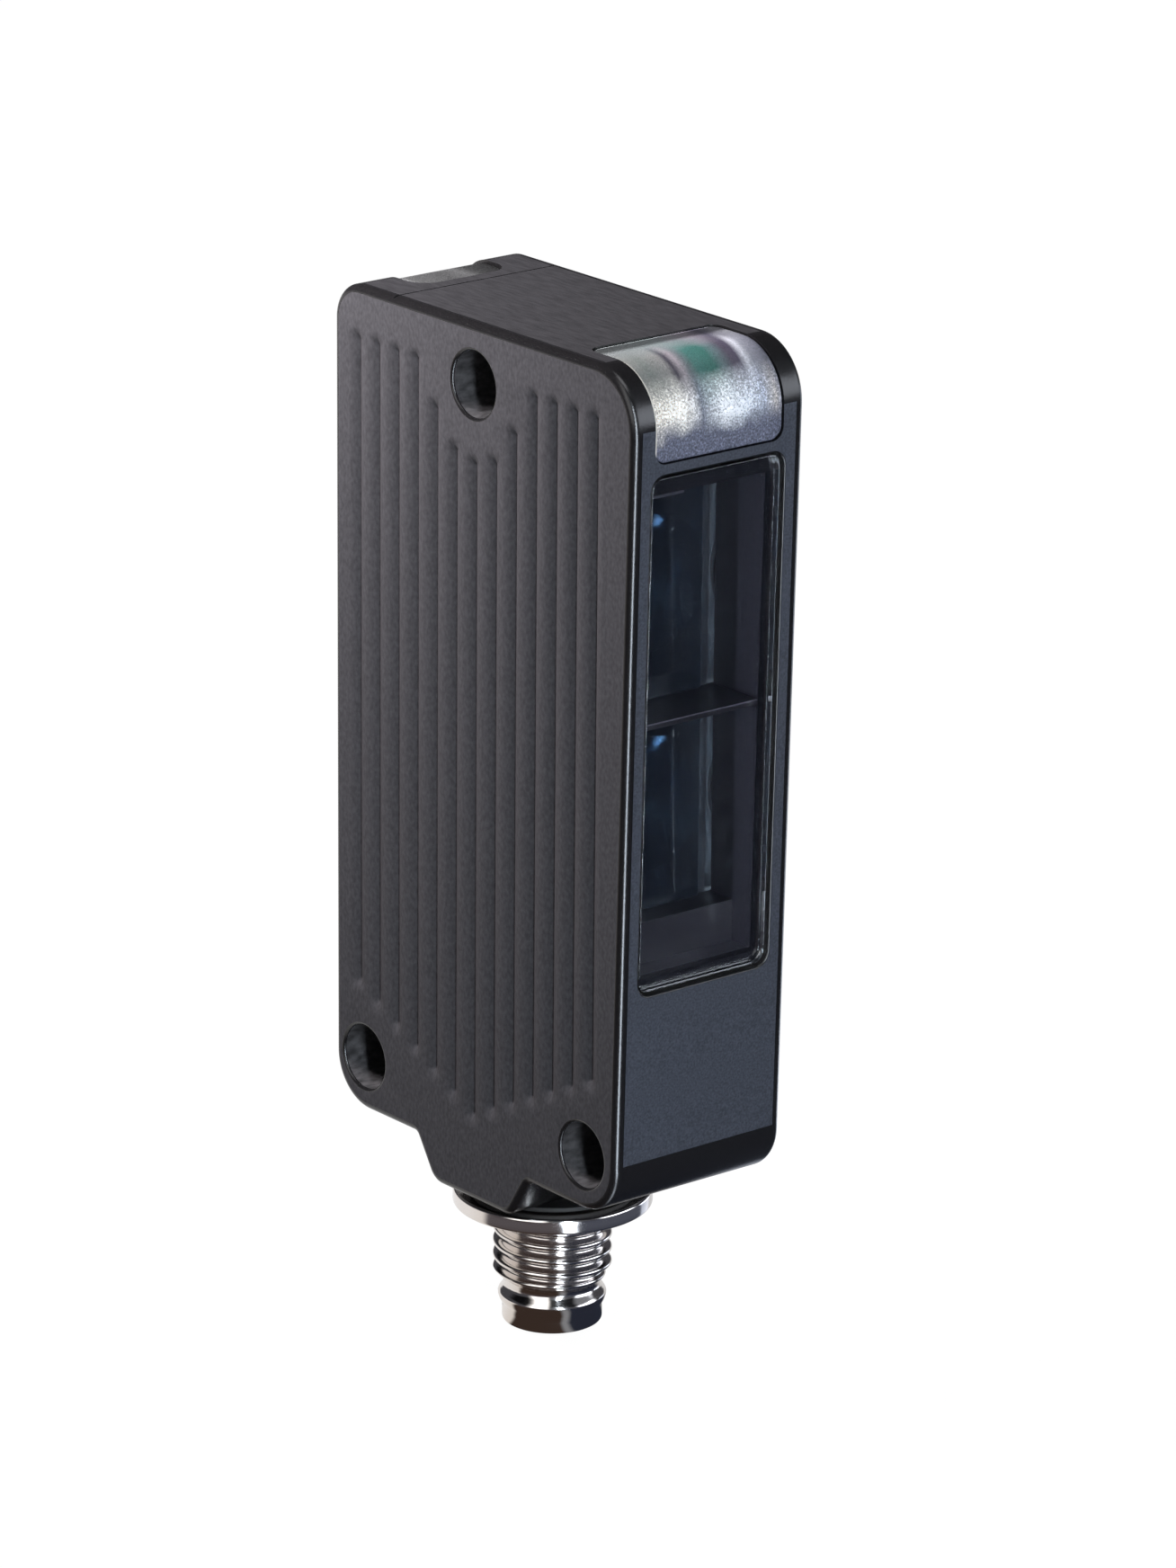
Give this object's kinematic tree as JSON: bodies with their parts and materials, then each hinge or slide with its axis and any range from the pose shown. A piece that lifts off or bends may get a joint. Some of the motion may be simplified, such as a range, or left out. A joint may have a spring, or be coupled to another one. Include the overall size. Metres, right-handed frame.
{
  "type": "retro-reflective photoelectric sensor",
  "caption": "Slim moulded photoelectric sensor with a front window, frosted indicator lenses, grooved sides, through holes and a round plug at its foot.",
  "frame": {"origin": "under the middle of the whole sensor, at the end of the plug", "axes": "+X across the thickness, -Y towards the optical front, +Z along the plug's axis towards the indicator end"},
  "size_m": [0.014, 0.031, 0.0699],
  "materials": {
    "moulded_black": "finely textured dark grey-black moulding with polished edges",
    "holder_black": "satin black moulding",
    "clear_pane": "clear polished plastic",
    "frosted_lens": "frosted clear plastic",
    "polarising_film": "smooth dark film",
    "glue": "dark glue with fine bright specks",
    "board_green": "coated circuit board",
    "chip_black": "moulded package",
    "lamp_green": "tinted lamp",
    "lamp_yellow": "tinted lamp",
    "nickel": "turned and nickel plated",
    "gold_contact": "gold plated",
    "black_rubber": "moulded"
  },
  "bodies": {
    "root": {"housing": "moulded_black", "window_pane": "clear_pane", "window_seal": "glue", "optics_holder": "holder_black", "receiver_lens": "clear_pane", "emitter_lens": "clear_pane", "receiver_polarizer": "polarising_film", "emitter_polarizer": "polarising_film", "indicator_lens": "frosted_lens", "rear_lens": "frosted_lens", "optics_board": "board_green", "indicator_board": "board_green", "main_board": "board_green", "board_header": "chip_black", "controller_ic": "chip_black", "output_driver": "chip_black", "receiver_diode": "chip_black", "emitter_led": "clear_pane", "power_led": "lamp_green", "output_led": "lamp_yellow", "rear_led": "lamp_green", "connector_shell": "nickel", "connector_insert": "holder_black", "connector_seal": "black_rubber", "pin_1": "gold_contact", "pin_2": "gold_contact", "pin_3": "gold_contact", "pin_4": "gold_contact"}
  },
  "joints": []
}
